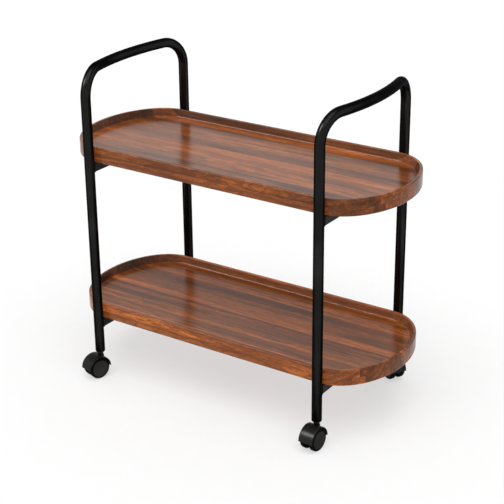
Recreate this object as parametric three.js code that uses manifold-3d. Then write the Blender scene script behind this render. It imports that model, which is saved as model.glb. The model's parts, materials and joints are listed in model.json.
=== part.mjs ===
// Two-tier bar cart on wheels. Millimetres, +Z up, X along the trays, Y across them.
// The origin is on the floor under the middle of the cart.
import * as THREE from 'three';
import { mergeVertices } from 'three/addons/utils/BufferGeometryUtils.js';
import Module from 'manifold-3d';

// ---- Driving dimensions -------------------------------------------------
const TRAY_LENGTH = 795;
const TRAY_WIDTH = 324;
const TRAY_END_DEPTH = 112; // length of each half-elliptical end
const TRAY_THICKNESS = 36;
const RECESS_DEPTH = 18;
const RIM_FLAT = 7.5;
const FLOOR_INSET = 16.5; // from the tray's edge to the foot of the cove
const COVE_RADIUS = 5;
const UPPER_RIM_Z = 550;
const LOWER_RIM_Z = 177;

const TUBE_DIAMETER = 22;
const TUBE_WALL = 1.2;
const POST_X = 290;
const HANDLE_TOP_Z = 726;
const BEND_RADIUS = 58;
const HANDLE_FLARE = THREE.MathUtils.degToRad(12.5); // how far each bend turns out of the post plane

const CROSSBAR_WIDTH = 18;
const CROSSBAR_DEPTH = 20;
const CROSSBAR_WALL = 1.5;
const SCREW_SPREAD = 196; // between the two screws of one crossbar

const WHEEL_DIAMETER = 50;
const WHEEL_WIDTH = 11;
const CASTER_WIDTH = 34.6;
const CASTER_TRAIL = 12.4; // from the stem's axis back to the axle
const HOOD_RADIUS = 28.9;
const HOOD_WALL = 1.6;
const HOOD_SEAT_Z = 52;
const HOOD_SEAT_RADIUS = 7.6;
const HUB_RADIUS = 8.5;
const STEM_DIAMETER = 11;
const COLLAR_DIAMETER = 13; // of the stem between the hood and the socket
const SOCKET_BOTTOM_Z = 60;

// Rest headings of the four casters, as the direction in which each one trails.
const CASTER_HEADINGS = {
  front_left: THREE.MathUtils.degToRad(253),
  front_right: THREE.MathUtils.degToRad(266),
  rear_left: THREE.MathUtils.degToRad(73),
  rear_right: THREE.MathUtils.degToRad(151),
};

// ---- Clearances and worked-out sizes ------------------------------------
const GAP = 0.3; // between pieces that touch
const RUNNING_GAP = 0.25; // between pieces that turn on each other
const POST_CLEARANCE = 0.5; // between a tray's side and a post
const TUBE_RADIUS = TUBE_DIAMETER / 2;
const BORE_RADIUS = TUBE_RADIUS - TUBE_WALL;
const POST_Y = TRAY_WIDTH / 2 + TUBE_RADIUS + POST_CLEARANCE;
const POST_SPACING = 2 * POST_Y;
const HANDLE_AXIS_Z = HANDLE_TOP_Z - TUBE_RADIUS;
const SOCKET_FLANGE = 2.4;
const SOCKET_LENGTH = 30; // inside the post
const TUBE_BOTTOM_Z = SOCKET_BOTTOM_Z + SOCKET_FLANGE + GAP;
const WHEEL_SIDES = 20;
const WHEEL_RADIUS = WHEEL_DIAMETER / 2;
const AXLE_Z = WHEEL_RADIUS * Math.cos(Math.PI / WHEEL_SIDES); // each wheel stands on one flat
const WHEEL_INNER_FACE = CASTER_WIDTH / 2 - WHEEL_WIDTH;
const WHEEL_SIDE_PLAY = 0.6;
const HOOD_WEB = 2 * (WHEEL_INNER_FACE - WHEEL_SIDE_PLAY);
const AXLE_RADIUS = 2.5;
const AXLE_REACH = 7.5; // into each wheel
const AXLE_LENGTH = 2 * (WHEEL_INNER_FACE + AXLE_REACH);
const JOURNAL_RADIUS = 3.8;
const JOURNAL_BOTTOM_Z = 29;
const STEM_TOP_Z = SOCKET_BOTTOM_Z + 28.5;
const INSERT_LENGTH = 12;
const INSERT_RADIUS = 4.5;
const SCREW_RADIUS = 2.5;
const SCREW_HEAD_RADIUS = 5.2;
const SCREW_HEAD_HEIGHT = 3;

// ---- Materials ----------------------------------------------------------
const material = (color, roughness, metalness) =>
  new THREE.MeshStandardMaterial({ color, roughness, metalness });
const WOOD = material(0x8a4a26, 0.35, 0);
const POWDER_COAT = material(0x1c1c1b, 0.45, 0.1);
const BLACK_PLASTIC = material(0x1b1b1a, 0.5, 0);
const WHEEL_PLASTIC = material(0x202020, 0.55, 0);
const STEEL = material(0x8d8f92, 0.35, 1);
const BLACK_STEEL = material(0x232323, 0.4, 0.8);
const BRASS = material(0xb08d45, 0.35, 1);

// ---- Solid helpers ------------------------------------------------------
const wasm = await Module();
wasm.setup();

function toSolid(geometry) {
  const bare = geometry.clone();
  bare.deleteAttribute('normal');
  bare.deleteAttribute('uv');
  const merged = mergeVertices(bare, 1e-4);
  return new wasm.Manifold(
    new wasm.Mesh({
      numProp: 3,
      vertProperties: new Float32Array(merged.attributes.position.array),
      triVerts: new Uint32Array(merged.index.array),
    }),
  );
}

function toGeometry(solid) {
  const mesh = solid.getMesh();
  const geometry = new THREE.BufferGeometry();
  geometry.setAttribute('position', new THREE.BufferAttribute(mesh.vertProperties, 3));
  geometry.setIndex(new THREE.BufferAttribute(mesh.triVerts, 1));
  geometry.computeVertexNormals();
  return geometry;
}

// Cuts every tool out of the body.
function cut(body, ...tools) {
  const result = tools.reduce((solid, tool) => solid.subtract(toSolid(tool)), toSolid(body));
  return toGeometry(result);
}

function join(...bodies) {
  const [first, ...others] = bodies.map(toSolid);
  return toGeometry(others.reduce((solid, other) => solid.add(other), first));
}

// A body of revolution about Z from [radius, z] points listed from the bottom up on the outside.
function turned(points, sides) {
  const profile = points.map(([radius, z]) => new THREE.Vector2(radius, z));
  return new THREE.LatheGeometry(profile, sides).rotateX(Math.PI / 2);
}

function rod(radius, bottom, top, sides = 16) {
  return turned([[0, bottom], [radius, bottom], [radius, top], [0, top]], sides);
}

// Points of a quarter round of the given radius, from angle `start` to `end` in degrees.
function roundCorner(centreRadius, centreZ, radius, start, end, steps) {
  return Array.from({ length: steps + 1 }, (_, i) => {
    const angle = THREE.MathUtils.degToRad(start + ((end - start) * i) / steps);
    return [centreRadius + radius * Math.cos(angle), centreZ + radius * Math.sin(angle)];
  });
}

function polygon(radius, sides, phase = 0) {
  return Array.from({ length: sides }, (_, i) => {
    const angle = phase + (2 * Math.PI * i) / sides;
    return new THREE.Vector2(radius * Math.cos(angle), radius * Math.sin(angle));
  });
}

// ---- Trays --------------------------------------------------------------
// The plan has straight long sides and half-elliptical ends. It is a body of revolution whose
// circle is stretched over that plan: a point's depth inside the circle is its depth inside the
// plan's edge.
const TRAY_SIDES = 50; // half of it is odd, so that each end has a point at its tip
function trayPlan(step, depth) {
  const half = TRAY_SIDES / 2;
  const end = step < half ? 1 : -1;
  const angle = -Math.PI / 2 + (Math.PI * (step % half)) / (half - 1);
  const straight = TRAY_LENGTH / 2 - TRAY_END_DEPTH;
  return [
    end * (straight + (TRAY_END_DEPTH - depth) * Math.cos(angle)),
    end * (TRAY_WIDTH / 2 - depth) * Math.sin(angle),
  ];
}

function trayBlank() {
  const edge = TRAY_WIDTH / 2;
  const floor = TRAY_THICKNESS - RECESS_DEPTH;
  const bottomRound = 3.5;
  const rimRound = 2.3;
  const coveTop = -15; // where the inner wall runs into the cove, in degrees
  const geometry = turned(
    [
      [0, 0],
      ...roundCorner(edge - bottomRound, bottomRound, bottomRound, -90, 0, 2),
      ...roundCorner(edge - rimRound, TRAY_THICKNESS - rimRound, rimRound, 0, 90, 2),
      [edge - RIM_FLAT, TRAY_THICKNESS],
      ...roundCorner(edge - FLOOR_INSET, floor + COVE_RADIUS, COVE_RADIUS, coveTop, -90, 2),
      [0, floor],
    ],
    TRAY_SIDES,
  );
  const position = geometry.attributes.position;
  for (let i = 0; i < position.count; i += 1) {
    const radius = Math.hypot(position.getX(i), position.getY(i));
    if (radius < 1e-6) continue;
    const fromFront = Math.atan2(position.getX(i), -position.getY(i));
    const turn = (fromFront / (2 * Math.PI)) * TRAY_SIDES;
    const step = (Math.round(turn) + TRAY_SIDES) % TRAY_SIDES;
    const [x, y] = trayPlan(step, edge - radius);
    position.setXY(i, x, y);
  }
  return geometry;
}

const screwPlaces = [-1, 1].flatMap((end) =>
  [-1, 1].map((side) => [end * POST_X, (side * SCREW_SPREAD) / 2]),
);

const OVERRUN = 1; // how far a cutting tool runs past the face that it opens
function tray(name, rimZ) {
  const drillPoint = 1.5;
  const holes = screwPlaces.map(([x, y]) =>
    rod(INSERT_RADIUS + GAP, -OVERRUN, INSERT_LENGTH + drillPoint, 10).translate(x, y, 0),
  );
  const mesh = new THREE.Mesh(cut(trayBlank(), ...holes), WOOD);
  mesh.name = name;
  mesh.position.z = rimZ - TRAY_THICKNESS;
  return mesh;
}

// ---- Frame tubes --------------------------------------------------------
// Centreline of one frame: up the front post, over the bowed handle and down the rear post.
// It is sampled at its own stations, so the straight posts take one step each.
class FrameCurve extends THREE.Curve {
  constructor(bendSteps, bowSteps) {
    super();
    const outward = Math.sin(HANDLE_FLARE);
    const across = Math.cos(HANDLE_FLARE);
    const bowEndY = POST_Y - BEND_RADIUS * across;
    const bowRadius = bowEndY / outward;
    const bowCentreX = POST_X + BEND_RADIUS * outward - bowRadius * across;
    const bendAt = (t) => {
      const reach = BEND_RADIUS * (1 - Math.cos(t));
      return {
        point: new THREE.Vector3(
          POST_X + reach * outward,
          -POST_Y + reach * across,
          HANDLE_AXIS_Z - BEND_RADIUS * (1 - Math.sin(t)),
        ),
        tangent: new THREE.Vector3(
          Math.sin(t) * outward,
          Math.sin(t) * across,
          Math.cos(t),
        ),
      };
    };
    const front = [{
      point: new THREE.Vector3(POST_X, -POST_Y, TUBE_BOTTOM_Z),
      tangent: new THREE.Vector3(0, 0, 1),
    }];
    for (let i = 0; i <= bendSteps; i += 1) front.push(bendAt((Math.PI / 2) * (i / bendSteps)));
    const bow = [];
    for (let i = 1; i < bowSteps; i += 1) {
      const t = HANDLE_FLARE * ((2 * i) / bowSteps - 1);
      bow.push({
        point: new THREE.Vector3(
          bowCentreX + bowRadius * Math.cos(t),
          bowRadius * Math.sin(t),
          HANDLE_AXIS_Z,
        ),
        tangent: new THREE.Vector3(-Math.sin(t), Math.cos(t), 0),
      });
    }
    const rear = front.toReversed().map(({ point, tangent }) => ({
      point: new THREE.Vector3(point.x, -point.y, point.z),
      tangent: new THREE.Vector3(-tangent.x, tangent.y, -tangent.z),
    }));
    this.stations = [...front, ...bow, ...rear];
  }

  station(u) {
    return this.stations[Math.round(u * (this.stations.length - 1))];
  }

  getPoint(u) {
    return this.station(u).point.clone();
  }

  getPointAt(u) {
    return this.getPoint(u);
  }

  getTangentAt(u) {
    return this.station(u).tangent.clone();
  }
}

const BORE_SIDES = 12;
function frameTube(name, turn) {
  const curve = new FrameCurve(6, 6);
  const section = new THREE.Shape(polygon(TUBE_RADIUS, 16, -HANDLE_FLARE));
  section.holes.push(new THREE.Path(polygon(BORE_RADIUS, BORE_SIDES, -HANDLE_FLARE).reverse()));
  const geometry = new THREE.ExtrudeGeometry(section, {
    steps: curve.stations.length - 1,
    extrudePath: curve,
    bevelEnabled: false,
  });
  const mesh = new THREE.Mesh(geometry, POWDER_COAT);
  mesh.name = name;
  mesh.rotation.z = turn;
  return mesh;
}

// ---- Crossbars and their fasteners --------------------------------------
// A square tube across each frame under a tray, with ends hollowed to fit the round posts.
function crossbarGeometry() {
  const outline = (width, depth) => [
    new THREE.Vector2(-width / 2, -depth / 2),
    new THREE.Vector2(width / 2, -depth / 2),
    new THREE.Vector2(width / 2, depth / 2),
    new THREE.Vector2(-width / 2, depth / 2),
  ];
  const section = new THREE.Shape(outline(CROSSBAR_WIDTH, CROSSBAR_DEPTH));
  const bore = outline(CROSSBAR_WIDTH - 2 * CROSSBAR_WALL, CROSSBAR_DEPTH - 2 * CROSSBAR_WALL);
  section.holes.push(new THREE.Path(bore.reverse()));
  const bar = new THREE.ExtrudeGeometry(section, { depth: POST_SPACING, bevelEnabled: false });
  bar.translate(0, 0, -POST_SPACING / 2).rotateX(Math.PI / 2);
  const posts = [-1, 1].map((side) =>
    rod(TUBE_RADIUS + GAP, -CROSSBAR_DEPTH, CROSSBAR_DEPTH, 20).translate(0, side * POST_Y, 0),
  );
  const screwPlay = 0.5;
  const holes = [-1, 1].map((side) =>
    rod(SCREW_RADIUS + screwPlay, -CROSSBAR_DEPTH, CROSSBAR_DEPTH, 10)
      .translate(0, (side * SCREW_SPREAD) / 2, 0),
  );
  // The stubs beyond each hollowed end are cut away with the post.
  const stubs = [-1, 1].map((side) =>
    new THREE.BoxGeometry(
      CROSSBAR_WIDTH + 2 * OVERRUN,
      TUBE_DIAMETER,
      CROSSBAR_DEPTH + 2 * OVERRUN,
    )
      .translate(0, side * (POST_Y + TUBE_RADIUS), 0),
  );
  return cut(bar, ...posts, ...stubs, ...holes);
}

// A round-headed screw with a hexagon socket, its shank pointing up.
function screwGeometry(shankLength) {
  const hexagonRadius = 1.7;
  const blank = turned(
    [
      [0, 0],
      [SCREW_HEAD_RADIUS - 1.6, 0],
      [SCREW_HEAD_RADIUS - 0.4, SCREW_HEAD_HEIGHT * 0.45],
      [SCREW_HEAD_RADIUS, SCREW_HEAD_HEIGHT],
      [SCREW_RADIUS, SCREW_HEAD_HEIGHT],
      [SCREW_RADIUS, SCREW_HEAD_HEIGHT + shankLength],
      [0, SCREW_HEAD_HEIGHT + shankLength],
    ],
    12,
  );
  return cut(blank, rod(hexagonRadius, -OVERRUN, SCREW_HEAD_HEIGHT * 0.6, 6));
}

function insertGeometry() {
  const bore = SCREW_RADIUS + GAP;
  return turned(
    [
      [bore, 0],
      [INSERT_RADIUS, 0],
      [INSERT_RADIUS, INSERT_LENGTH],
      [bore, INSERT_LENGTH],
      [bore, 0],
    ],
    12,
  );
}

// ---- Casters ------------------------------------------------------------
// Plastic plug in the foot of a post, bored for the caster's stem.
function socketGeometry() {
  const bore = STEM_DIAMETER / 2 + GAP;
  const flangeTop = SOCKET_BOTTOM_Z + SOCKET_FLANGE;
  const top = flangeTop + SOCKET_LENGTH;
  const shell = BORE_RADIUS * Math.cos(Math.PI / BORE_SIDES) - GAP;
  const flangeEdge = TUBE_RADIUS - 0.1;
  return turned(
    [
      [bore, SOCKET_BOTTOM_Z],
      [flangeEdge - 2.1, SOCKET_BOTTOM_Z],
      [flangeEdge - 0.6, SOCKET_BOTTOM_Z + 0.7],
      [flangeEdge, flangeTop],
      [shell, flangeTop],
      [shell - 0.3, top],
      [bore, top],
      [bore, SOCKET_BOTTOM_Z],
    ],
    14,
  );
}

// Steel stem: a grooved journal in the hood, a collar, and a shank held in the socket.
const GROOVE_Z = 38;
function stemGeometry() {
  const grooveHalf = 1.5;
  const grooveDepth = 1;
  return turned(
    [
      [0, JOURNAL_BOTTOM_Z],
      [JOURNAL_RADIUS - 0.8, JOURNAL_BOTTOM_Z],
      [JOURNAL_RADIUS, JOURNAL_BOTTOM_Z + 1],
      [JOURNAL_RADIUS, GROOVE_Z - grooveHalf],
      [JOURNAL_RADIUS - grooveDepth, GROOVE_Z - grooveHalf],
      [JOURNAL_RADIUS - grooveDepth, GROOVE_Z + grooveHalf],
      [JOURNAL_RADIUS, GROOVE_Z + grooveHalf],
      [JOURNAL_RADIUS, HOOD_SEAT_Z + GAP],
      [COLLAR_DIAMETER / 2, HOOD_SEAT_Z + GAP],
      [COLLAR_DIAMETER / 2, SOCKET_BOTTOM_Z - GAP],
      [STEM_DIAMETER / 2, SOCKET_BOTTOM_Z - GAP],
      [STEM_DIAMETER / 2, STEM_TOP_Z - 1.5],
      [STEM_DIAMETER / 2 - 1.2, STEM_TOP_Z],
      [0, STEM_TOP_Z],
    ],
    14,
  );
}

// The hood in its own frame: axle along Y through [0, 0, AXLE_Z], stem on x = CASTER_TRAIL.
function hoodGeometry() {
  const shellEdge = 1.1;
  const halfDisc = new THREE.Shape();
  halfDisc.absarc(0, 0, HOOD_RADIUS - shellEdge, 0, Math.PI, false);
  halfDisc.closePath();
  const shell = new THREE.ExtrudeGeometry(halfDisc, {
    depth: CASTER_WIDTH - 2 * shellEdge,
    bevelThickness: shellEdge,
    bevelSize: shellEdge,
    bevelSegments: 1,
    curveSegments: 10,
  });
  // Axle axis from the extrusion's Z to Y, standing on the axle's height.
  const onAxle = (geometry) =>
    geometry.rotateX(Math.PI / 2).translate(0, 0, AXLE_Z);
  onAxle(shell.translate(0, 0, -CASTER_WIDTH / 2 + shellEdge));
  const hub = onAxle(rod(HUB_RADIUS, -HOOD_WEB / 2, HOOD_WEB / 2, 14));
  const seat = rod(HOOD_SEAT_RADIUS, AXLE_Z, HOOD_SEAT_Z, 14).translate(CASTER_TRAIL, 0, 0);
  const pockets = [-1, 1].map((side) => {
    const inner = side * (HOOD_WEB / 2);
    const outer = side * CASTER_WIDTH;
    const [low, high] = [Math.min(inner, outer), Math.max(inner, outer)];
    return onAxle(rod(HOOD_RADIUS - HOOD_WALL, low, high, 24));
  });
  // The stem's bore has a rib that snaps into the stem's groove.
  const bore = JOURNAL_RADIUS + RUNNING_GAP;
  const rib = JOURNAL_RADIUS - 0.5;
  const stemBore = turned(
    [
      [0, JOURNAL_BOTTOM_Z - 1],
      [bore, JOURNAL_BOTTOM_Z - 1],
      [bore, GROOVE_Z - 1],
      [rib, GROOVE_Z - 0.8],
      [rib, GROOVE_Z + 0.8],
      [bore, GROOVE_Z + 1],
      [bore, HOOD_SEAT_Z + OVERRUN],
      [0, HOOD_SEAT_Z + OVERRUN],
    ],
    14,
  ).translate(CASTER_TRAIL, 0, 0);
  // A flat seat for the stem's collar is sunk into the round of the shell.
  const seatPlay = 0.8;
  const spotFace = rod(COLLAR_DIAMETER / 2 + seatPlay, HOOD_SEAT_Z, HOOD_SEAT_Z + HOOD_RADIUS, 14)
    .translate(CASTER_TRAIL, 0, 0);
  const axleBore = onAxle(rod(AXLE_RADIUS + GAP, -CASTER_WIDTH, CASTER_WIDTH, 12));
  return cut(join(shell, hub, seat), ...pockets, spotFace, stemBore, axleBore);
}

// Steel axle along Y, with a groove near each end for the wheel's snap-on rib.
const AXLE_GROOVE = AXLE_LENGTH / 2 - 2.5;
const AXLE_GROOVE_HALF = 0.8;
function axleGeometry() {
  const groove = AXLE_RADIUS - 0.7;
  const half = AXLE_LENGTH / 2;
  return turned(
    [
      [0, -half],
      [AXLE_RADIUS, -half],
      [AXLE_RADIUS, -AXLE_GROOVE - AXLE_GROOVE_HALF],
      [groove, -AXLE_GROOVE - AXLE_GROOVE_HALF],
      [groove, -AXLE_GROOVE + AXLE_GROOVE_HALF],
      [AXLE_RADIUS, -AXLE_GROOVE + AXLE_GROOVE_HALF],
      [AXLE_RADIUS, AXLE_GROOVE - AXLE_GROOVE_HALF],
      [groove, AXLE_GROOVE - AXLE_GROOVE_HALF],
      [groove, AXLE_GROOVE + AXLE_GROOVE_HALF],
      [AXLE_RADIUS, AXLE_GROOVE + AXLE_GROOVE_HALF],
      [AXLE_RADIUS, half],
      [0, half],
    ],
    10,
  ).rotateX(Math.PI / 2);
}

// A cup-shaped wheel: hub, outer wall and rim. Its axis is Z, its inner face at z = 0.
// The hub's blind bore has a rib that snaps into the axle's groove.
function wheelGeometry() {
  const wall = WHEEL_WIDTH - 2.6; // inside of the outer wall
  const rim = WHEEL_RADIUS - 4; // inside of the tread
  const hubRadius = 5.5;
  const rimFace = 0.4;
  const blank = turned(
    [
      [0, 0],
      [hubRadius, 0],
      [hubRadius, wall],
      [rim, wall],
      [rim, rimFace],
      [WHEEL_RADIUS, rimFace],
      [WHEEL_RADIUS, WHEEL_WIDTH - 2],
      [WHEEL_RADIUS - 1.2, WHEEL_WIDTH - 0.6],
      [WHEEL_RADIUS - 3.2, WHEEL_WIDTH],
      [0, WHEEL_WIDTH],
    ],
    WHEEL_SIDES,
  );
  const bore = AXLE_RADIUS + RUNNING_GAP;
  const rib = AXLE_RADIUS - 0.3;
  const ribZ = AXLE_GROOVE - WHEEL_INNER_FACE;
  const boreTool = turned(
    [
      [0, -OVERRUN],
      [bore, -OVERRUN],
      [bore, ribZ - 0.5],
      [rib, ribZ],
      [bore, ribZ + 0.5],
      [bore, wall],
      [0, wall],
    ],
    10,
  );
  return cut(blank, boreTool);
}

// ---- Assembly -----------------------------------------------------------
const cart = new THREE.Group();

function addPiece(parent, name, geometry, pieceMaterial, position = [0, 0, 0]) {
  const mesh = new THREE.Mesh(geometry, pieceMaterial);
  mesh.name = name;
  mesh.position.set(...position);
  parent.add(mesh);
  return mesh;
}

cart.add(tray('upper_tray', UPPER_RIM_Z), tray('lower_tray', LOWER_RIM_Z));
cart.add(frameTube('right_frame_tube', 0), frameTube('left_frame_tube', Math.PI));

const crossbar = crossbarGeometry();
const screw = screwGeometry(CROSSBAR_DEPTH + INSERT_LENGTH);
const insert = insertGeometry();
const tiers = { upper: UPPER_RIM_Z - TRAY_THICKNESS, lower: LOWER_RIM_Z - TRAY_THICKNESS };
for (const [tier, trayBottom] of Object.entries(tiers)) {
  const barMiddle = trayBottom - GAP - CROSSBAR_DEPTH / 2;
  const screwSeat = trayBottom - 2 * GAP - CROSSBAR_DEPTH - SCREW_HEAD_HEIGHT;
  for (const [end, sign] of [['left', -1], ['right', 1]]) {
    addPiece(cart, `${end}_${tier}_crossbar`, crossbar, POWDER_COAT,
      [sign * POST_X, 0, barMiddle]);
    for (const [side, across] of [['front', -1], ['rear', 1]]) {
      const place = [sign * POST_X, (across * SCREW_SPREAD) / 2];
      addPiece(cart, `${end}_${tier}_${side}_screw`, screw, BLACK_STEEL,
        [...place, screwSeat]);
      addPiece(cart, `${end}_${tier}_${side}_insert`, insert, BRASS,
        [...place, trayBottom + GAP]);
    }
  }
}

const socket = socketGeometry();
const stem = stemGeometry();
const hood = hoodGeometry();
const axle = axleGeometry();
const wheel = wheelGeometry();
for (const [corner, heading] of Object.entries(CASTER_HEADINGS)) {
  const [side, end] = corner.split('_');
  const post = new THREE.Group();
  post.position.set(end === 'left' ? -POST_X : POST_X, side === 'front' ? -POST_Y : POST_Y, 0);
  cart.add(post);
  addPiece(post, `${corner}_socket`, socket, BLACK_PLASTIC);
  addPiece(post, `${corner}_stem`, stem, BLACK_STEEL);
  // The swivelling part's own X points from the axle to the stem, against the trail.
  const swivel = new THREE.Group();
  swivel.rotation.z = heading + Math.PI;
  post.add(swivel);
  const carrier = new THREE.Group();
  carrier.position.x = -CASTER_TRAIL;
  swivel.add(carrier);
  addPiece(carrier, `${corner}_hood`, hood, BLACK_PLASTIC);
  addPiece(carrier, `${corner}_axle`, axle, STEEL, [0, 0, AXLE_Z]);
  for (const [place, sign] of [['left', 1], ['right', -1]]) {
    const mesh = addPiece(carrier, `${corner}_${place}_wheel`, wheel, WHEEL_PLASTIC,
      [0, sign * WHEEL_INNER_FACE, AXLE_Z]);
    // Wheel axis onto Y, outer face away from the hood, with a flat of the tread underneath.
    mesh.rotation.x = (-sign * Math.PI) / 2;
    mesh.rotateZ(Math.PI / WHEEL_SIDES);
  }
}

export default cart;
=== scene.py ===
"""Two-tier bar cart on casters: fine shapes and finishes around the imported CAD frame.

Metres, +Z up, X along the trays, Y across them. Places come from the frame's boxes and joints.
"""

import json
import math

import bmesh
import bpy
from mathutils import Matrix, Vector


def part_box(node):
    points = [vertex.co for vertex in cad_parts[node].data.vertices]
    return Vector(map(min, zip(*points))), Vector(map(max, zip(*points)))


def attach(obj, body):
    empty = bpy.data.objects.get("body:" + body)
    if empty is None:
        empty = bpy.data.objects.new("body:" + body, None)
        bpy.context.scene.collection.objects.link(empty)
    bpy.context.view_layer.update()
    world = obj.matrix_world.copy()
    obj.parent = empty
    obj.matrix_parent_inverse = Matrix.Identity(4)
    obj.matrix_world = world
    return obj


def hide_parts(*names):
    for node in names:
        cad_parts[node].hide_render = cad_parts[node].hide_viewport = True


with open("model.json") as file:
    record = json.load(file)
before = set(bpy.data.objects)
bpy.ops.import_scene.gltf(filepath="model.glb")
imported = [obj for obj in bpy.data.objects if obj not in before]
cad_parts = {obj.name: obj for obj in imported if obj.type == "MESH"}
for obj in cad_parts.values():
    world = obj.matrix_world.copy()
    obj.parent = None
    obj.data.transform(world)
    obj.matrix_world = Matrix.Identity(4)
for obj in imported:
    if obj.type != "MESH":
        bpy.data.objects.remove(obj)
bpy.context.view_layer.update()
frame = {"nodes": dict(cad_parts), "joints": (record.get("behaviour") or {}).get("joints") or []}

# ---- Sizes --------------------------------------------------------------
GAP = 0.0003
RUNNING_GAP = 0.00025
TRAY_END_DEPTH = 0.112
RECESS_DEPTH = 0.018
RIM_FLAT = 0.0075
FLOOR_INSET = 0.0165
COVE_RADIUS = 0.005
STAVE_WIDTH = 0.026
TUBE_RADIUS = 0.011
TUBE_WALL = 0.0012
BEND_RADIUS = 0.058
HANDLE_FLARE = math.radians(12.5)
CROSSBAR_WALL = 0.0015
CROSSBAR_CORNER = 0.0022
WHEEL_WIDTH = 0.011
CASTER_WIDTH = 0.0346
HOOD_RADIUS = 0.0288
HOOD_WALL = 0.0016
STEM_RADIUS = 0.0055
COLLAR_RADIUS = 0.0065
JOURNAL_RADIUS = 0.0038
HOOD_SEAT_Z = 0.052
AXLE_RADIUS = 0.0025
SCREW_RADIUS = 0.0025
SCREW_HEAD_RADIUS = 0.0052
SCREW_HEAD_HEIGHT = 0.003
INSERT_RADIUS = 0.0045
INSERT_LENGTH = 0.012
CUT_PAST = 0.001  # how far a cutting tool reaches past the face that it opens

# ---- Places, from the frame ---------------------------------------------
joints = {joint["name"]: joint for joint in frame["joints"]}
corners = [name[: -len("_swivel")] for name in joints if name.endswith("_swivel")]
post_places = {corner: Vector(joints[f"{corner}_swivel"]["pos_m"]) for corner in corners}
POST_X = max(place.x for place in post_places.values())
POST_Y = max(place.y for place in post_places.values())
AXLE_Z = joints[f"{corners[0]}_left_roll"]["pos_m"][2]
TUBE_BOTTOM_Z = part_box("right_frame_tube")[0].z
HANDLE_AXIS_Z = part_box("right_frame_tube")[1].z - TUBE_RADIUS
SOCKET_BOTTOM_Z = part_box(f"{corners[0]}_socket")[0].z
SOCKET_TOP_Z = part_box(f"{corners[0]}_socket")[1].z
STEM_BOTTOM_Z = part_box(f"{corners[0]}_stem")[0].z
STEM_TOP_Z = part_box(f"{corners[0]}_stem")[1].z


# ---- Mesh helpers -------------------------------------------------------
def arc(centre_u, centre_v, radius, start, end, steps):
    """Points of an arc in a plane, angles in degrees."""
    points = []
    for i in range(steps + 1):
        angle = math.radians(start + (end - start) * i / steps)
        points.append((centre_u + radius * math.cos(angle), centre_v + radius * math.sin(angle)))
    return points


def add_piece(name, mesh_data):
    """A new object from a bmesh, cleaned, with its normals facing out."""
    bmesh.ops.remove_doubles(mesh_data, verts=mesh_data.verts, dist=1e-7)
    bmesh.ops.dissolve_degenerate(mesh_data, edges=mesh_data.edges, dist=1e-8)
    bmesh.ops.recalc_face_normals(mesh_data, faces=mesh_data.faces)
    mesh = bpy.data.meshes.new(name)
    mesh_data.to_mesh(mesh)
    mesh_data.free()
    piece = bpy.data.objects.new(name, mesh)
    bpy.context.scene.collection.objects.link(piece)
    return piece


def loft(name, rings, close_path=False, cap_start=False, cap_end=False):
    """A skin of quads through rings of equally many points."""
    mesh_data = bmesh.new()
    rows = [[mesh_data.verts.new(point) for point in ring] for ring in rings]
    count = len(rows[0])
    pairs = list(zip(rows, rows[1:]))
    if close_path:
        pairs.append((rows[-1], rows[0]))
    for low, high in pairs:
        for i in range(count):
            j = (i + 1) % count
            mesh_data.faces.new((low[i], low[j], high[j], high[i]))
    if cap_start:
        mesh_data.faces.new(rows[0])
    if cap_end:
        mesh_data.faces.new(rows[-1])
    return add_piece(name, mesh_data)


def turned(name, profile, sides, close=False):
    """A body of revolution about Z, from (radius, z) points that end on Z or form a loop."""
    rings = []
    for radius, z in profile:
        ring = []
        for i in range(sides):
            angle = 2 * math.pi * i / sides
            ring.append((radius * math.cos(angle), radius * math.sin(angle), z))
        rings.append(ring)
    return loft(name, rings, close_path=close)


def rod(radius, bottom, top, sides):
    """A plain cylinder about Z, to cut with."""
    return turned("rod", [(0, bottom), (radius, bottom), (radius, top), (0, top)], sides)


def shift(piece, x, y, z=0):
    """Moves a piece's own points, so that its origin stays at the cart's."""
    piece.data.transform(Matrix.Translation((x, y, z)))


def boolean(piece, tool, operation):
    """Joins a tool to a piece or cuts it out, and removes the tool."""
    modifier = piece.modifiers.new("boolean", "BOOLEAN")
    modifier.operation = operation
    modifier.solver = "EXACT"
    modifier.object = tool
    depsgraph = bpy.context.evaluated_depsgraph_get()
    mesh = bpy.data.meshes.new_from_object(piece.evaluated_get(depsgraph))
    piece.modifiers.clear()
    piece.data = mesh
    bpy.data.objects.remove(tool)


def finish(piece, material, body, node=None, sharp=35):
    """Shading, material, body and the CAD node that the piece stands for."""
    piece.data.materials.clear()
    piece.data.materials.append(material)
    piece.data.polygons.foreach_set("use_smooth", [True] * len(piece.data.polygons))
    piece.data.set_sharp_from_angle(angle=math.radians(sharp))
    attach(piece, body)
    if node:
        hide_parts(node)


def repaint(node, material):
    """Gives a CAD piece that stays in view its material."""
    materials = frame["nodes"][node].data.materials
    materials.clear()
    materials.append(material)


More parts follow.
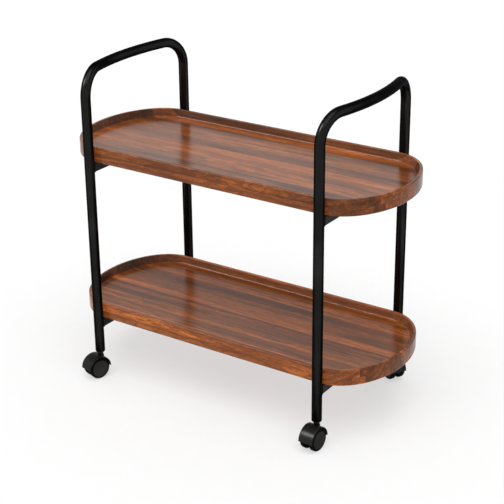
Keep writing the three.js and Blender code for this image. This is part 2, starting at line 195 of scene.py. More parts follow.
# ---- Materials ----------------------------------------------------------
class Finish:
    """A node material on the Principled shader."""

    def __init__(self, name):
        self.material = bpy.data.materials.new(name)
        self.material.use_nodes = True
        self.tree = self.material.node_tree
        self.shader = self.tree.nodes["Principled BSDF"]

    def add(self, kind, inputs=None, **settings):
        node = self.tree.nodes.new("ShaderNode" + kind)
        for key, value in settings.items():
            setattr(node, key, value)
        for key, value in (inputs or {}).items():
            self.feed(node.inputs[key], value)
        return node

    def feed(self, socket, value):
        if isinstance(value, bpy.types.NodeSocket):
            self.tree.links.new(value, socket)
        else:
            socket.default_value = value

    def stretch(self, vector, scale):
        return self.add("Mapping", {"Vector": vector, "Scale": scale}).outputs["Vector"]

    def place(self, scale):
        """Object coordinates, scaled."""
        return self.stretch(self.add("TexCoord").outputs["Object"], scale)

    def noise(self, vector, detail=3.0, roughness=0.5, distortion=0.0, output="Fac"):
        inputs = {
            "Vector": vector,
            "Scale": 1.0,
            "Detail": detail,
            "Roughness": roughness,
            "Distortion": distortion,
        }
        return self.add("TexNoise", inputs).outputs[output]

    def math(self, operation, *values):
        return self.add("Math", dict(enumerate(values)), operation=operation).outputs[0]

    def vector_math(self, operation, first, second):
        node = self.add("VectorMath", {0: first, 1: second}, operation=operation)
        return node.outputs["Vector"]

    def spread(self, value, low, high, to_low, to_high):
        inputs = {
            "Value": value,
            "From Min": low,
            "From Max": high,
            "To Min": to_low,
            "To Max": to_high,
        }
        return self.add("MapRange", inputs).outputs["Result"]

    def ramp(self, value, stops):
        node = self.add("ValToRGB", {"Fac": value})
        elements = node.color_ramp.elements
        while len(elements) < len(stops):
            elements.new(0.5)
        for element, (position, colour) in zip(elements, stops):
            element.position = position
            element.color = (*colour, 1)
        return node.outputs["Color"]

    def blend(self, factor, first, second, kind="MIX"):
        node = self.add("Mix", data_type="RGBA", blend_type=kind)
        for index, value in ((0, factor), (6, first), (7, second)):
            if not isinstance(value, bpy.types.NodeSocket) and index > 0:
                value = (*value, 1)
            self.feed(node.inputs[index], value)
        return node.outputs[2]

    def bump(self, height, strength, distance):
        inputs = {"Height": height, "Strength": strength, "Distance": distance}
        return self.add("Bump", inputs).outputs["Normal"]

    def surface(self, **inputs):
        names = {
            "colour": "Base Color",
            "roughness": "Roughness",
            "metallic": "Metallic",
            "specular": "Specular IOR Level",
            "tint": "Specular Tint",
            "glow": "Emission Color",
            "glow_strength": "Emission Strength",
            "normal": "Normal",
        }
        for key, value in inputs.items():
            self.feed(self.shader.inputs[names[key]], value)
        return self.material


LIGHT_WOOD = (0.395, 0.113, 0.021)
MID_WOOD = (0.190, 0.055, 0.015)
DARK_WOOD = (0.085, 0.027, 0.010)
TORN_WOOD = (0.098, 0.028, 0.009)
STREAK_WOOD = (0.040, 0.016, 0.008)


def plan_reach(wood, axes, half_length, half_width):
    """How far out a point lies in a tray's plan, from 0 in the middle to 1 on the outer side."""
    straight = half_length - TRAY_END_DEPTH
    past_side = wood.math("SUBTRACT", wood.math("ABSOLUTE", axes["X"]), straight)
    end_share = wood.math("DIVIDE", wood.math("MAXIMUM", past_side, 0.0), TRAY_END_DEPTH)
    side_share = wood.math("DIVIDE", axes["Y"], half_width)
    end_square = wood.math("MULTIPLY", end_share, end_share)
    side_square = wood.math("MULTIPLY", side_share, side_share)
    return wood.math("SQRT", wood.math("ADD", end_square, side_square))


def stave_colours(wood, axes, layer_z, seed):
    """One random colour for each stave: a cell across the board, as long as the board."""
    layer_shift = 0.43
    upper = wood.math("GREATER_THAN", axes["Z"], layer_z)
    across = wood.math("MULTIPLY", axes["Y"], 1 / STAVE_WIDTH)
    layered = wood.math("MULTIPLY_ADD", upper, layer_shift, seed)
    inputs = {"W": wood.math("ADD", across, layered), "Scale": 1.0, "Randomness": 0.7}
    stave = wood.add("TexVoronoi", inputs, voronoi_dimensions="1D").outputs["Color"]
    return wood.add("SeparateColor", {"Color": stave}).outputs


def growth_rings(wood, grown):
    """Saw-shaped rings about X, much drawn out along it."""
    inputs = {
        "Vector": wood.stretch(grown, (0.10, 1, 1)),
        "Scale": 24.0,
        "Distortion": 3.0,
        "Detail": 3.0,
        "Detail Scale": 0.6,
        "Detail Roughness": 0.6,
    }
    settings = {"wave_type": "RINGS", "rings_direction": "X", "wave_profile": "SAW"}
    return wood.add("TexWave", inputs, **settings).outputs["Fac"]


def stave_wood(name, seed, low, high):
    """Lacquered walnut-stained staves, edge-glued in two layers, their grain along X, with painted
    shade on the recess wall.
    """
    wood = Finish(name)
    coordinates = wood.add("TexCoord").outputs["Object"]
    axes = wood.add("SeparateXYZ", {"Vector": coordinates}).outputs
    floor_z = high.z - RECESS_DEPTH
    glue_line_depth = 0.0005
    stave = stave_colours(wood, axes, floor_z - glue_line_depth, seed)

    # Each stave grew about a pith line at a place of its own, and its grain wavers by up to 10 mm.
    pith_inputs = {
        "X": wood.spread(stave["Red"], 0, 1, -7.0, 7.0),
        "Y": wood.spread(stave["Green"], 0, 1, -0.14, 0.14),
        "Z": wood.spread(stave["Blue"], 0, 1, -0.12, 0.03),
    }
    pith = wood.add("CombineXYZ", pith_inputs).outputs["Vector"]
    local = wood.vector_math("ADD", coordinates, pith)
    waver = wood.noise(wood.stretch(local, (9, 38, 38)), output="Color")
    centred = wood.vector_math("SUBTRACT", waver, (0.5, 0.5, 0.5))
    drift = wood.vector_math("MULTIPLY", centred, (0.0, 0.020, 0.020))
    grown = wood.vector_math("ADD", local, drift)

    rings = growth_rings(wood, grown)
    figure = wood.noise(wood.stretch(grown, (2.6, 42, 42)), 4.0, 0.55, 0.5)
    torn = wood.noise(wood.stretch(grown, (30, 165, 165)), 6.0, 0.74, 0.8)
    fibres = wood.noise(wood.stretch(grown, (9, 420, 420)), 4.0, 0.6)
    pores = wood.noise(wood.stretch(local, (70, 1500, 1500)), 2.0)

    # Masks of the recess, which carries painted shade, and of the outer side, each fading over a
    # band of the rim.
    half_width = (high.y - low.y) / 2
    reach = plan_reach(wood, axes, (high.x - low.x) / 2, half_width)
    recess_band = (1 - 0.0085 / half_width, 1 - 0.0065 / half_width)
    side_band = (1 - 0.005 / half_width, 1 - 0.002 / half_width)
    inside = wood.spread(reach, *recess_band, 1.0, 0.0)
    raised = wood.spread(axes["Z"], floor_z - 0.0002, floor_z + 0.002, 0.0, 1.0)
    outer_side = wood.spread(reach, *side_band, 0.0, 1.0)

    tone = wood.ramp(figure, [(0.34, LIGHT_WOOD), (0.50, MID_WOOD), (0.66, DARK_WOOD)])
    ring_stops = [(0.0, LIGHT_WOOD), (0.55, MID_WOOD), (0.88, DARK_WOOD), (1.0, MID_WOOD)]
    colour = wood.blend(0.33, tone, wood.ramp(rings, ring_stops))
    flakes = wood.spread(torn, 0.475, 0.535, 0.0, 1.0)
    flake_depth = wood.spread(outer_side, 0.0, 1.0, 0.40, 0.70)
    colour = wood.blend(wood.math("MULTIPLY", flakes, flake_depth), colour, TORN_WOOD)
    colour = wood.blend(wood.spread(fibres, 0.52, 0.70, 0.0, 0.55), colour, STREAK_WOOD)
    shade_stops = [
        (0.0, (0.46, 0.48, 0.52)),
        (0.5, (0.98, 0.98, 0.98)),
        (1.0, (1.62, 1.50, 1.35)),
    ]
    colour = wood.blend(1.0, colour, wood.ramp(stave["Green"], shade_stops), "MULTIPLY")
    colour = wood.blend(wood.spread(pores, 0.62, 0.72, 0.0, 0.45), colour, STREAK_WOOD)

    # Painted shade: the routed wall and cove of the recess are darkened, where shade falls inside
    # the rim.
    recess_shade = wood.math("MULTIPLY", wood.math("MULTIPLY", inside, raised), 0.85)
    shaded_colour = wood.blend(1.0, colour, (0.42, 0.40, 0.42), "MULTIPLY")
    colour = wood.blend(recess_shade, colour, shaded_colour)

    fibre_relief = wood.math("MULTIPLY", fibres, 0.6)
    relief = wood.math("ADD", fibre_relief, wood.math("MULTIPLY", pores, 0.4))
    cloud = wood.noise(wood.place((9, 9, 9)))
    return wood.surface(
        colour=colour,
        roughness=wood.spread(cloud, 0.3, 0.7, 0.17, 0.26),
        specular=0.165,
        normal=wood.bump(relief, 0.12, 0.0004),
    )


SCUFFED_BLACK = (0.03, 0.03, 0.029)


def black_coat(name, tint, roughness, specular, grain, relief, metallic=0.6):
    """Satin black paint or moulding with a fine skin, faint clouding and a few paler scuffs."""
    coat = Finish(name)
    cloud = coat.noise(coat.place((14, 14, 14)), detail=4.0)
    skin = coat.noise(coat.place((grain, grain, grain)), detail=2.0)
    scuffs = coat.noise(coat.place((40, 40, 220)), detail=6.0, roughness=0.7)
    low = tuple(0.75 * part for part in tint)
    high = tuple(1.35 * part for part in tint)
    colour = coat.blend(coat.spread(cloud, 0.3, 0.7, 0.0, 1.0), low, high)
    colour = coat.blend(coat.spread(scuffs, 0.66, 0.78, 0.0, 0.35), colour, SCUFFED_BLACK)
    rough = coat.math(
        "ADD",
        coat.spread(cloud, 0.3, 0.7, roughness - 0.04, roughness + 0.04),
        coat.spread(skin, 0.3, 0.7, -0.02, 0.02),
    )
    return coat.surface(
        colour=colour,
        roughness=rough,
        specular=specular,
        metallic=metallic,
        tint=(0.0, 0.0, 0.0, 1.0),
        normal=coat.bump(skin, relief, 0.0002),
    )


def bare_metal(name, tint, dark, roughness):
    """Plated or blackened metal with faint turning lines and stains."""
    metal = Finish(name)
    lines = metal.noise(metal.place((90, 90, 1400)), detail=3.0)
    stain = metal.noise(metal.place((110, 110, 110)), detail=4.0)
    colour = metal.blend(metal.spread(stain, 0.4, 0.7, 0.0, 0.6), tint, dark)
    return metal.surface(
        colour=colour,
        metallic=1.0,
        roughness=metal.spread(lines, 0.3, 0.7, roughness - 0.06, roughness + 0.08),
        normal=metal.bump(lines, 0.15, 0.0001),
    )


# Tint, roughness, specular level, grain per metre, relief and, where it isn't 0.6, metallic share.
powder_coat = black_coat(
    "satin_powder_coat", (0.0160, 0.0160, 0.0156), 0.24, 0.12, 1500, 0.12, 0.92
)
bar_coat = black_coat("matt_powder_coat", (0.0165, 0.0160, 0.0155), 0.42, 0.15, 1500, 0.12, 0.25)
hood_plastic = black_coat("moulded_hood_plastic", (0.0200, 0.0200, 0.0196), 0.30, 0.30, 2600, 0.10)
wheel_plastic = black_coat("wheel_nylon", (0.0290, 0.0290, 0.0285), 0.48, 0.20, 2000, 0.18)
# The tread is a darker moulding, and its near-black colour also stands in as painted shade where
# the wheel's shoulder sits under the hood.
tread_and_painted_shade = black_coat("tread_and_painted_shade", (0.0060, 0.0060, 0.0058), 0.62, 0.05, 1800, 0.30)

# Two tints and roughness.
zinc_steel = bare_metal("zinc_plated_steel", (0.52, 0.53, 0.55), (0.30, 0.30, 0.31), 0.32)
black_steel = bare_metal("black_oxide_steel", (0.020, 0.020, 0.021), (0.010, 0.010, 0.010), 0.42)
brass = bare_metal("turned_brass", (0.62, 0.44, 0.18), (0.34, 0.22, 0.09), 0.30)


# ---- Trays --------------------------------------------------------------
END_STEPS = 22
SIDE_STEPS = 18


def tray_plan(length, width, depth):
    """The outline at a depth inside the edge, from the right tip round by the rear."""
    straight = length / 2 - TRAY_END_DEPTH
    end_x = TRAY_END_DEPTH - depth
    half_y = width / 2 - depth
    quarter = []
    for i in range(END_STEPS + 1):
        angle = math.pi / 2 * i / END_STEPS
        quarter.append((straight + end_x * math.cos(angle), half_y * math.sin(angle)))
    side = []
    for i in range(1, SIDE_STEPS):
        side.append((straight * (1 - 2 * i / SIDE_STEPS), half_y))
    rear = quarter + side + [(-x, y) for x, y in reversed(quarter)]
    return rear + [(x, -y) for x, y in reversed(rear[1:-1])]


def tray_board(node, material):
    low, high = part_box(node)
    length = high.x - low.x
    width = high.y - low.y
    thickness = high.z - low.z
    floor = thickness - RECESS_DEPTH
    edge_round = 0.0035
    rim_round = 0.0023
    brow = 0.0009
    profile = [
        *arc(-edge_round, edge_round, edge_round, -90, 0, 6),
        *arc(-rim_round, thickness - rim_round, rim_round, 0, 90, 6),
        *arc(-RIM_FLAT + brow, thickness - brow, brow, 90, 165, 4),
        *arc(-FLOOR_INSET, floor + COVE_RADIUS, COVE_RADIUS, -15, -90, 8),
    ]
    mesh_data = bmesh.new()
    rows = []
    for inward, z in profile:
        outline = tray_plan(length, width, -inward)
        rows.append([mesh_data.verts.new((x, y, low.z + z)) for x, y in outline])
    count = len(rows[0])
    for lower, upper in zip(rows, rows[1:]):
        for i in range(count):
            j = (i + 1) % count
            mesh_data.faces.new((lower[i], lower[j], upper[j], upper[i]))
    for row in (rows[0], rows[-1]):
        mesh_data.faces.new((row[0], row[1], row[-1]))
        for i in range(1, count // 2 - 1):
            mesh_data.faces.new((row[i], row[i + 1], row[-i - 1], row[-i]))
        tip = count // 2
        mesh_data.faces.new((row[tip - 1], row[tip], row[tip + 1]))
    board = add_piece(f"{node}_shape", mesh_data)
    tier = node.split("_")[0]
    drill_past = 0.0015
    for end, x in (("left", -POST_X), ("right", POST_X)):
        for side in ("front", "rear"):
            insert_low, insert_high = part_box(f"{end}_{tier}_{side}_insert")
            hole = rod(INSERT_RADIUS + GAP, -CUT_PAST, INSERT_LENGTH + drill_past, 24)
            shift(hole, x, (insert_low.y + insert_high.y) / 2, low.z)
            boolean(board, hole, "DIFFERENCE")
    finish(board, material, "cart", node, sharp=40)


for node, stave_seed in (("upper_tray", 3.7), ("lower_tray", 8.9)):
    tray_board(node, stave_wood(f"{node}_staves", stave_seed, *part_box(node)))


# ---- Frame tubes --------------------------------------------------------
TUBE_SIDES = 40
TUBE_CHAMFER = 0.0004
TUBE_CHAMFER_HEIGHT = 0.0005


def frame_path(sign):
    """Centreline of one frame with its tangents: front post, bowed handle, rear post."""
    outward = math.sin(HANDLE_FLARE)
    inward = math.cos(HANDLE_FLARE)
    bow_end = POST_Y - BEND_RADIUS * inward
    bow_radius = bow_end / outward
    bow_centre = POST_X + BEND_RADIUS * outward - bow_radius * inward
    bend_steps = 20
    bow_steps = 20
    straight_up = Vector((0, 0, 1))
    front = [
        (Vector((POST_X, -POST_Y, z)), straight_up)
        for z in (TUBE_BOTTOM_Z, TUBE_BOTTOM_Z + TUBE_CHAMFER_HEIGHT)
    ]
    for i in range(bend_steps + 1):
        turn = math.pi / 2 * i / bend_steps
        reach = BEND_RADIUS * (1 - math.cos(turn))
        rise = HANDLE_AXIS_Z - BEND_RADIUS * (1 - math.sin(turn))
        point = Vector((POST_X + reach * outward, -POST_Y + reach * inward, rise))
        tangent = Vector((math.sin(turn) * outward, math.sin(turn) * inward, math.cos(turn)))
        front.append((point, tangent))
    bow = []
    for i in range(1, bow_steps):
        turn = HANDLE_FLARE * (2 * i / bow_steps - 1)
        x = bow_centre + bow_radius * math.cos(turn)
        point = Vector((x, bow_radius * math.sin(turn), HANDLE_AXIS_Z))
        bow.append((point, Vector((-math.sin(turn), math.cos(turn), 0))))
    rear = []
    for point, tangent in reversed(front):
        rear.append((
            Vector((point.x, -point.y, point.z)),
            Vector((-tangent.x, tangent.y, -tangent.z)),
        ))
    return [
        (Vector((sign * p.x, p.y, p.z)), Vector((sign * t.x, t.y, t.z)))
        for p, t in front + bow + rear
    ]


def tube_rings(path, radii, sides):
    """Rings square to a path, turned as little as possible from one to the next."""
    rings = []
    axis = Vector((1, 0, 0))
    for (point, tangent), radius in zip(path, radii):
        axis = (axis - tangent * axis.dot(tangent)).normalized()
        other = tangent.cross(axis)
        ring = []
        for i in range(sides):
            angle = 2 * math.pi * i / sides
            ring.append(point + (axis * math.cos(angle) + other * math.sin(angle)) * radius)
        rings.append(ring)
    return rings


def bent_tube(node, sign):
    path = frame_path(sign)
    outer = [TUBE_RADIUS] * len(path)
    outer[0] = outer[-1] = TUBE_RADIUS - TUBE_CHAMFER
    bore = [TUBE_RADIUS - TUBE_WALL] * len(path)
    rings = tube_rings(path, outer, TUBE_SIDES) + tube_rings(path, bore, TUBE_SIDES)[::-1]
    tube = loft(f"{node}_shape", rings, close_path=True)
    finish(tube, powder_coat, "cart", node, sharp=50)


bent_tube("right_frame_tube", 1)
bent_tube("left_frame_tube", -1)


# ---- Crossbars, welds and screws ----------------------------------------
def rounded_box(width, height, corner):
    """Outline of a rounded rectangle about the origin, with points along its sides too."""
    u = width / 2 - corner
    v = height / 2 - corner
    centres = ((u, v), (-u, v), (-u, -v), (u, -v))
    rounds = [arc(*centre, corner, 90 * k, 90 * (k + 1), 5) for k, centre in enumerate(centres)]
    side_steps = 6
    points = []
    for rounding, following in zip(rounds, rounds[1:] + rounds[:1]):
        points += rounding
        last = Vector(rounding[-1])
        points += [
            tuple(last.lerp(Vector(following[0]), i / side_steps)) for i in range(1, side_steps)
        ]
    return points


def saddle(u, clearance):
    """How far along Y a bar reaches at u from its middle line before it meets the post."""
    radius = TUBE_RADIUS + clearance
    return POST_Y - math.sqrt(radius * radius - u * u)


def crossbar(node):
    low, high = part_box(node)
    centre = (low + high) / 2
    width = high.x - low.x
    height = high.z - low.z
    inner_corner = CROSSBAR_CORNER - CROSSBAR_WALL * 0.9
    outer = rounded_box(width, height, CROSSBAR_CORNER)
    inner = rounded_box(width - 2 * CROSSBAR_WALL, height - 2 * CROSSBAR_WALL, inner_corner)
    rings = []
    for outline, end in ((outer, -1), (outer, 1), (inner, 1), (inner, -1)):
        rings.append([(centre.x + u, end * saddle(u, GAP), centre.z + v) for u, v in outline])
    bar = loft(f"{node}_shape", rings, close_path=True)
    screw_play = 0.0005
    end_name, tier, _ = node.split("_")
    for side in ("front", "rear"):
        screw_low, screw_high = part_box(f"{end_name}_{tier}_{side}_screw")
        hole = rod(SCREW_RADIUS + screw_play, -height, height, 24)
        shift(hole, centre.x, (screw_low.y + screw_high.y) / 2, centre.z)
        boolean(bar, hole, "DIFFERENCE")
    finish(bar, bar_coat, "cart", node, sharp=30)
    weld_beads(node, centre, outer)


def weld_beads(bar_name, centre, outline):
    """A rippled bead round each end of a crossbar, where it meets its post."""
    bead_radius = 0.0013
    ripple = 0.00012
    reach_gap = 0.0006
    sides = 10
    beads = bmesh.new()
    for end in (-1, 1):
        path = [
            Vector((centre.x + u, end * saddle(u, reach_gap), centre.z + v)) for u, v in outline
        ]
        count = len(path)
        rows = []
        for i, point in enumerate(path):
            tangent = (path[(i + 1) % count] - path[i - 1]).normalized()
            across = Vector((0, 1, 0)).cross(tangent).normalized()
            other = tangent.cross(across)
            radius = bead_radius + ripple * (1 if i % 2 else -1)
            row = []
            for k in range(sides):
                angle = 2 * math.pi * k / sides
                place = point + (across * math.cos(angle) + other * math.sin(angle)) * radius
                row.append(beads.verts.new(place))
            rows.append(row)
        for this, following in zip(rows, rows[1:] + rows[:1]):
            for k in range(sides):
                m = (k + 1) % sides
                beads.faces.new((this[k], this[m], following[m], following[k]))
    weld = add_piece(f"{bar_name}_welds", beads)
    finish(weld, powder_coat, "cart", sharp=60)


def screw(node):
    low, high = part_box(node)
    length = high.z - low.z
    head = SCREW_HEAD_HEIGHT
    radius = SCREW_HEAD_RADIUS
    dome = 0.0024
    rim = 0.0005
    profile = [
        (0, 0),
        (radius - dome, 0),
        *arc(radius - dome, head - rim, dome, -80, 0, 8),
        (radius, head),
        (SCREW_RADIUS, head),
    ]
    plain_shank = 0.008
    pitch = 0.0008
    thread_depth = 0.0004
    point_chamfer = 0.0006
    z = head + plain_shank
    while z < length - 2 * pitch:
        profile += [(SCREW_RADIUS, z), (SCREW_RADIUS - thread_depth, z + pitch / 2)]
        z += pitch
    profile += [(SCREW_RADIUS, z), (SCREW_RADIUS - point_chamfer, length), (0, length)]
    blank = turned(f"{node}_shape", profile, 32)
    hex_recess_radius = 0.0017
    boolean(blank, rod(hex_recess_radius, -CUT_PAST, head * 0.6, 6), "DIFFERENCE")
    shift(blank, (low.x + high.x) / 2, (low.y + high.y) / 2, low.z)
    finish(blank, black_steel, "cart", node, sharp=40)


for end in ("left", "right"):
    for tier in ("upper", "lower"):
        crossbar(f"{end}_{tier}_crossbar")
        for side in ("front", "rear"):
            screw(f"{end}_{tier}_{side}_screw")
            repaint(f"{end}_{tier}_{side}_insert", brass)


# ---- Casters ------------------------------------------------------------
def socket(corner):
    node = f"{corner}_socket"
    bore = STEM_RADIUS + GAP
    play = 0.0004
    shell = TUBE_RADIUS - TUBE_WALL - GAP - play
    flange_top = TUBE_BOTTOM_Z - GAP
    flange = TUBE_RADIUS - 0.0001
    bead = 0.0023
    chamfer = 0.0003
    profile = [
        (bore + chamfer, SOCKET_BOTTOM_Z),
        *arc(flange - bead, SOCKET_BOTTOM_Z + bead, bead, -90, 0, 8),
        (flange, flange_top),
        (shell, flange_top),
        (shell - chamfer, SOCKET_TOP_Z),
        (bore, SOCKET_TOP_Z),
        (bore, SOCKET_BOTTOM_Z + chamfer),
    ]
    plug = turned(f"{node}_shape", profile, 40, close=True)
    shift(plug, post_places[corner].x, post_places[corner].y)
    finish(plug, hood_plastic, "cart", node)


def stem(corner):
    node = f"{corner}_stem"
    groove_low = 0.0365
    groove_high = 0.0395
    groove_radius = JOURNAL_RADIUS - 0.001
    seat = HOOD_SEAT_Z + GAP
    collar_top = SOCKET_BOTTOM_Z - GAP
    collar_round = 0.0006
    collar_edge = COLLAR_RADIUS - collar_round
    profile = [
        (0, STEM_BOTTOM_Z),
        (JOURNAL_RADIUS - 0.0008, STEM_BOTTOM_Z),
        (JOURNAL_RADIUS, STEM_BOTTOM_Z + 0.001),
        (JOURNAL_RADIUS, groove_low),
        (groove_radius, groove_low),
        (groove_radius, groove_high),
        (JOURNAL_RADIUS, groove_high),
        (JOURNAL_RADIUS, seat),
        *arc(collar_edge, seat + collar_round, collar_round, -90, 0, 4),
        *arc(collar_edge, collar_top - collar_round, collar_round, 0, 90, 4),
        (STEM_RADIUS, collar_top),
        (STEM_RADIUS, STEM_TOP_Z - 0.0015),
        (STEM_RADIUS - 0.0012, STEM_TOP_Z),
        (0, STEM_TOP_Z),
    ]
    pin = turned(f"{node}_shape", profile, 36)
    shift(pin, post_places[corner].x, post_places[corner].y)
    finish(pin, black_steel, "cart", node)


def caster_frame(corner):
    """Where the hood's own axes stand: X from the axle to the stem, Y along the axle."""
    axle = Vector(joints[f"{corner}_left_roll"]["pos_m"])
    post = post_places[corner]
    forward = Vector((post.x - axle.x, post.y - axle.y, 0))
    trail = forward.length
    heading = math.atan2(forward.y, forward.x)
    return Matrix.Translation(axle) @ Matrix.Rotation(heading, 4, "Z"), trail


def on_axle(piece):
    """Turns a piece made about Z onto the axle's Y."""
    piece.data.transform(Matrix.Rotation(math.pi / 2, 4, "X"))
    return piece


WHEEL_INNER_FACE = CASTER_WIDTH / 2 - WHEEL_WIDTH
WHEEL_SIDE_PLAY = 0.0006
HOOD_WEB = WHEEL_INNER_FACE - WHEEL_SIDE_PLAY


def hood_shell(name):
    """The half-round arch over both wheels, with its web, turned half a turn about the axle."""
    half = CASTER_WIDTH / 2
    inner = HOOD_RADIUS - HOOD_WALL
    fillet = 0.0012
    inner_lip = 0.0003
    outer_lip = 0.0009
    near_axle = 0.001
    side = [
        (inner - fillet, HOOD_WEB),
        *arc(inner - fillet, HOOD_WEB + fillet, fillet, -90, 0, 4),
        *arc(inner + inner_lip, half - inner_lip, inner_lip, 180, 90, 3),
        *arc(HOOD_RADIUS - outer_lip, half - outer_lip, outer_lip, 90, 0, 6),
    ]
    section = [(near_axle, HOOD_WEB)] + side + [(r, -y) for r, y in reversed(side)]
    section.append((near_axle, -HOOD_WEB))
    rings = []
    steps = 48
    for i in range(steps + 1):
        angle = math.pi * i / steps
        rings.append([(r * math.cos(angle), y, r * math.sin(angle)) for r, y in section])
    return loft(name, rings, cap_start=True, cap_end=True)


def hood(corner):
    """A half-round shell over both wheels, on a web between them that holds axle and stem."""
    node = f"{corner}_hood"
    place, trail = caster_frame(corner)
    shell = hood_shell(f"{node}_shape")

    hub = 0.0085
    hub_round = 0.0005
    boss = on_axle(turned(
        "hub",
        [(0, -HOOD_WEB), *arc(hub - hub_round, -HOOD_WEB + hub_round, hub_round, -90, 0, 3),
         *arc(hub - hub_round, HOOD_WEB - hub_round, hub_round, 0, 90, 3), (0, HOOD_WEB)],
        40,
    ))
    boolean(shell, boss, "UNION")

    # A raised seat for the stem's collar, with a spot face cut through the arch above it.
    seat_z = HOOD_SEAT_Z - AXLE_Z
    seat_depth = 0.006
    seat_radius = 0.0076
    seat_round = 0.0008
    seat_edge = arc(seat_radius - seat_round, seat_z - seat_round, seat_round, 0, 90, 4)
    seat_profile = [(0, seat_z - seat_depth), (seat_radius, seat_z - seat_depth)]
    seat = turned("seat", [*seat_profile, *seat_edge, (0, seat_z)], 40)
    shift(seat, trail, 0)
    boolean(shell, seat, "UNION")
    collar_play = 0.0008
    spot_face = rod(COLLAR_RADIUS + collar_play, seat_z, HOOD_RADIUS + CUT_PAST, 40)
    shift(spot_face, trail, 0)
    boolean(shell, spot_face, "DIFFERENCE")

    end_play = 0.001
    bore_bottom = STEM_BOTTOM_Z - end_play - AXLE_Z
    stem_bore = rod(JOURNAL_RADIUS + RUNNING_GAP, bore_bottom, seat_z + CUT_PAST, 32)
    shift(stem_bore, trail, 0)
    boolean(shell, stem_bore, "DIFFERENCE")
    axle_bore = on_axle(rod(AXLE_RADIUS + GAP, -CASTER_WIDTH / 2, CASTER_WIDTH / 2, 24))
    boolean(shell, axle_bore, "DIFFERENCE")
    shell.data.transform(place)
    finish(shell, hood_plastic, f"{corner}_caster", node, sharp=32)


def wheel(corner, hand):
    """A cup-shaped wheel with a rounded shoulder and a disc face inside a shallow groove."""
    node = f"{corner}_{hand}_wheel"
    place, _ = caster_frame(corner)
    radius = AXLE_Z
    width = WHEEL_WIDTH
    wall = width - 0.0026
    rim = 0.0208
    hub = 0.0055
    bore = AXLE_RADIUS + RUNNING_GAP
    chamfer = 0.0003
    fillet = 0.0008
    shoulder = 0.0034
    face_edge = 0.0200
    back_z = 0.0004
    rim_lip = 0.0004
    groove = 0.0009
    disc_inset = 0.0003
    disc_round = 0.0004
    disc_z = width - 0.0001
    profile = [
        (0, wall),
        (bore, wall),
        (bore, chamfer),
        (bore + chamfer, 0),
        (hub - chamfer, 0),
        (hub, chamfer),
        (hub, wall - fillet),
        *arc(hub + fillet, wall - fillet, fillet, 180, 90, 3),
        *arc(rim - fillet, wall - fillet, fillet, 90, 0, 3),
        *arc(rim + rim_lip, back_z + rim_lip, rim_lip, 180, 270, 3),
        *arc(radius - fillet, back_z + fillet, fillet, -90, 0, 4),
        *arc(radius - shoulder, width - shoulder, shoulder, 0, 90, 8),
        (face_edge + 0.0008, width),
        (face_edge + 0.0006, width - groove),
        (face_edge, width - groove),
        *arc(face_edge - disc_inset - disc_round, disc_z - disc_round, disc_round, 0, 90, 3),
        (0.009, disc_z),
        (0, disc_z),
    ]
    cup = turned(f"{node}_shape", profile, 72)
    sign = 1 if hand == "left" else -1
    cup.data.transform(Matrix.Rotation(-sign * math.pi / 2, 4, "X"))
    shift(cup, 0, sign * WHEEL_INNER_FACE)
    cup.data.transform(place)
    finish(cup, wheel_plastic, f"{node}_body", node, sharp=32)
    # Faces outside the disc face take the tread colour: a darker tread, partly painted shade in
    # the gap under the hood.
    cup.data.materials.append(tread_and_painted_shade)
    along = (place.to_3x3() @ Vector((0, 1, 0))).normalized()
    for face in cup.data.polygons:
        offset = face.center - place.translation
        if (offset - along * offset.dot(along)).length > face_edge:
            face.material_index = 1


for corner in corners:
    socket(corner)
    stem(corner)
    hood(corner)
    for hand in ("left", "right"):
        wheel(corner, hand)
    repaint(f"{corner}_axle", zinc_steel)


# ---- Floor, light and camera --------------------------------------------
FLOOR_GLOW = 0.28
FLOOR_ALBEDO = 0.51
FLOOR_SIZE = 40
SKY_STRENGTH = 1.2
SKY_LEVELS = ((0.0, 0.83), (0.20, 0.86), (0.40, 1.0), (0.62, 0.25), (1.0, 0.18))
# Name, strength, angle in degrees, place that it shines from, and whether it casts shadows.
SUNS = (
    ("key", 2.3, 20, (-1.8, -2.0, 2.2), False),
    ("overhead", 1.7, 60, (0.5, -1.0, 3.0), True),
)


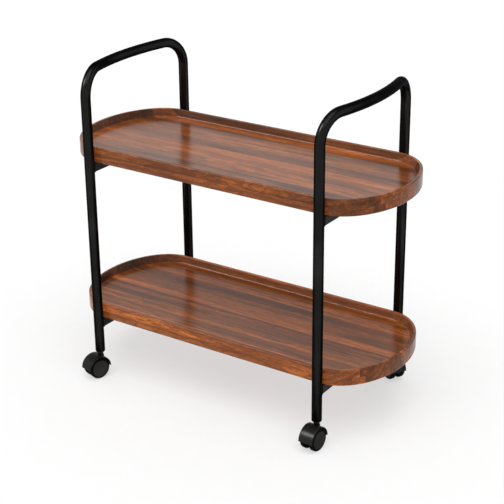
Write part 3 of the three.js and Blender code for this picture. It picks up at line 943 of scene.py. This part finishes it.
def studio():
    """A white floor that glows a little, under a soft sky and two broad suns."""
    world = bpy.data.worlds.new("studio")
    world.use_nodes = True
    nodes = world.node_tree.nodes
    links = world.node_tree.links
    direction = nodes.new("ShaderNodeTexCoord").outputs["Generated"]
    axes = nodes.new("ShaderNodeSeparateXYZ")
    links.new(direction, axes.inputs["Vector"])
    sky = nodes.new("ShaderNodeValToRGB")
    links.new(axes.outputs["Z"], sky.inputs["Fac"])
    elements = sky.color_ramp.elements
    while len(elements) < len(SKY_LEVELS):
        elements.new(0.5)
    for element, (height, level) in zip(elements, SKY_LEVELS):
        element.position = height
        element.color = (level, level, level, 1)
    links.new(sky.outputs["Color"], nodes["Background"].inputs["Color"])
    nodes["Background"].inputs["Strength"].default_value = SKY_STRENGTH
    bpy.context.scene.world = world

    bpy.ops.mesh.primitive_plane_add(size=FLOOR_SIZE, location=(0, 0, 0))
    floor = bpy.context.object
    floor.name = "floor"
    paper = Finish("paper_floor")
    speckle = paper.noise(paper.place((30, 30, 30)), detail=4.0)
    light_paper = (FLOOR_ALBEDO, FLOOR_ALBEDO, FLOOR_ALBEDO)
    dark_paper = tuple(0.985 * part for part in light_paper)
    paper_colour = paper.blend(paper.spread(speckle, 0.3, 0.7, 0.0, 1.0), dark_paper, light_paper)
    floor.data.materials.append(paper.surface(
        colour=paper_colour,
        roughness=0.9,
        specular=0.0,
        glow=(1, 1, 1, 1),
        glow_strength=FLOOR_GLOW,
    ))

    for lamp_name, energy, angle, place, casts in SUNS:
        light = bpy.data.lights.new(lamp_name, "SUN")
        light.energy = energy
        light.angle = math.radians(angle)
        light.use_shadow = casts
        lamp = bpy.data.objects.new(lamp_name, light)
        lamp.location = place
        lamp.rotation_euler = (-Vector(place)).to_track_quat("-Z", "Y").to_euler()
        bpy.context.scene.collection.objects.link(lamp)


CAMERA_DISTANCE = 2.9907
CAMERA_AZIMUTH = math.radians(34.11)
CAMERA_ELEVATION = math.radians(23.15)
CAMERA_ROLL = math.radians(-0.55)
CAMERA_TARGET = Vector((0.01478, 0, 0.3142))
SENSOR_WIDTH = 36.0
CAMERA_LENS = 97.06


def main_camera():
    back = Vector((
        math.sin(CAMERA_AZIMUTH) * math.cos(CAMERA_ELEVATION),
        -math.cos(CAMERA_AZIMUTH) * math.cos(CAMERA_ELEVATION),
        math.sin(CAMERA_ELEVATION),
    ))
    level = Vector((0, 0, 1)).cross(back).normalized()
    upward = back.cross(level)
    right = level * math.cos(CAMERA_ROLL) + upward * math.sin(CAMERA_ROLL)
    up = back.cross(right)
    lens = bpy.data.cameras.new("camera")
    lens.sensor_width = SENSOR_WIDTH
    lens.lens = CAMERA_LENS
    lens.clip_end = 100
    camera = bpy.data.objects.new("camera", lens)
    turn = Matrix((right, up, back)).transposed().to_4x4()
    camera.matrix_world = Matrix.Translation(CAMERA_TARGET + back * CAMERA_DISTANCE) @ turn
    bpy.context.scene.collection.objects.link(camera)
    bpy.context.scene.camera = camera


studio()
main_camera()
bpy.context.scene.view_settings.view_transform = "Standard"
